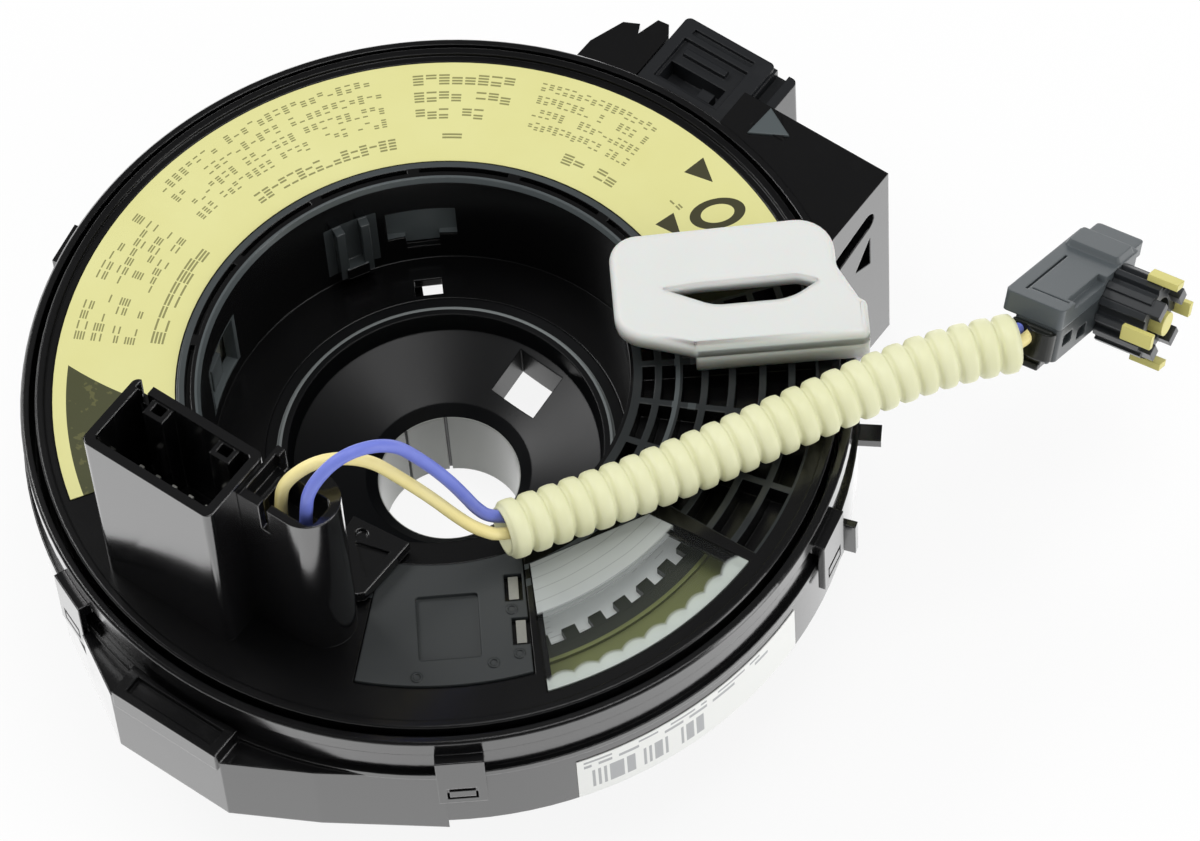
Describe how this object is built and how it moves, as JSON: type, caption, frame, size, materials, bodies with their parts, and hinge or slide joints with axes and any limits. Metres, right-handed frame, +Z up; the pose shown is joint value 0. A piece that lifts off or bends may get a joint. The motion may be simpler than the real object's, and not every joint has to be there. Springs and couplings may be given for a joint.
{
  "type": "steering clock spring",
  "caption": "Round steering-column clock spring: fixed case, turning rotor with upright housings and window, toothed carrier, transit lock, and wires in a sleeve with a right-angle plug.",
  "frame": {"origin": "centre of the shaft bore, in the plane that the hub and the side connector hood rest on", "axes": "+Z up along the shaft bore, +Y towards the column connectors, the upright housings are towards -Y"},
  "size_m": [0.1235, 0.1269, 0.0724],
  "materials": {
    "black_plastic": "semi-gloss moulded",
    "grey_black_plastic": "satin moulded",
    "yellow_label": "printed film",
    "white_label": "printed sticker",
    "white_plastic": "translucent white moulded",
    "clear_lens": "clear moulded plastic",
    "olive_plastic": "satin",
    "pale_film": "smooth film",
    "copper_tape": "laminated film",
    "metal_contact": "tinned",
    "yellow_plastic": "satin",
    "pale_yellow_sleeve": "soft",
    "blue_wire": "soft",
    "yellow_wire": "soft"
  },
  "bodies": {
    "stator": {"stator_case": "black_plastic", "stator_ring": "black_plastic", "column_connector": "grey_black_plastic", "column_connector_pins": "metal_contact", "airbag_connector": "grey_black_plastic", "airbag_connector_pins": "metal_contact", "side_label": "white_label"},
    "carrier": {"cable_carrier": "olive_plastic", "flat_cable": "copper_tape", "guide_sheet": "pale_film"},
    "rotor": {"rotor": "black_plastic", "rotor_label": "yellow_label", "window_lens": "clear_lens", "cancel_cam": "grey_black_plastic", "wheel_connector": "black_plastic", "wheel_connector_pins": "metal_contact", "wire_outlet": "black_plastic", "access_cover": "black_plastic", "contact_tabs": "metal_contact", "wire_blue": "blue_wire", "wire_yellow": "yellow_wire", "wire_sleeve": "pale_yellow_sleeve", "squib_body": "grey_black_plastic", "squib_cover": "grey_black_plastic", "squib_nose": "grey_black_plastic", "squib_strips": "yellow_plastic", "squib_latch": "grey_black_plastic"},
    "lock": {"transit_lock": "white_plastic"}
  },
  "joints": [
    {"name": "rotor_spin", "type": "hinge", "parent": "stator", "child": "rotor", "pos_m": [0, 0, 0], "axis": [0, 0, 1], "range_deg": [-1080, 1080]},
    {"name": "carrier_spin", "type": "hinge", "parent": "stator", "child": "carrier", "pos_m": [0, 0, 0], "axis": [0, 0, 1], "range_deg": [-540, 540]},
    {"name": "lock_pull", "type": "slide", "parent": "rotor", "child": "lock", "axis": [0, 0, 1], "range_m": [0, 0.014]}
  ],
  "couplings": [
    {"joint": "carrier_spin", "follows": "rotor_spin", "ratio": 0.5}
  ]
}
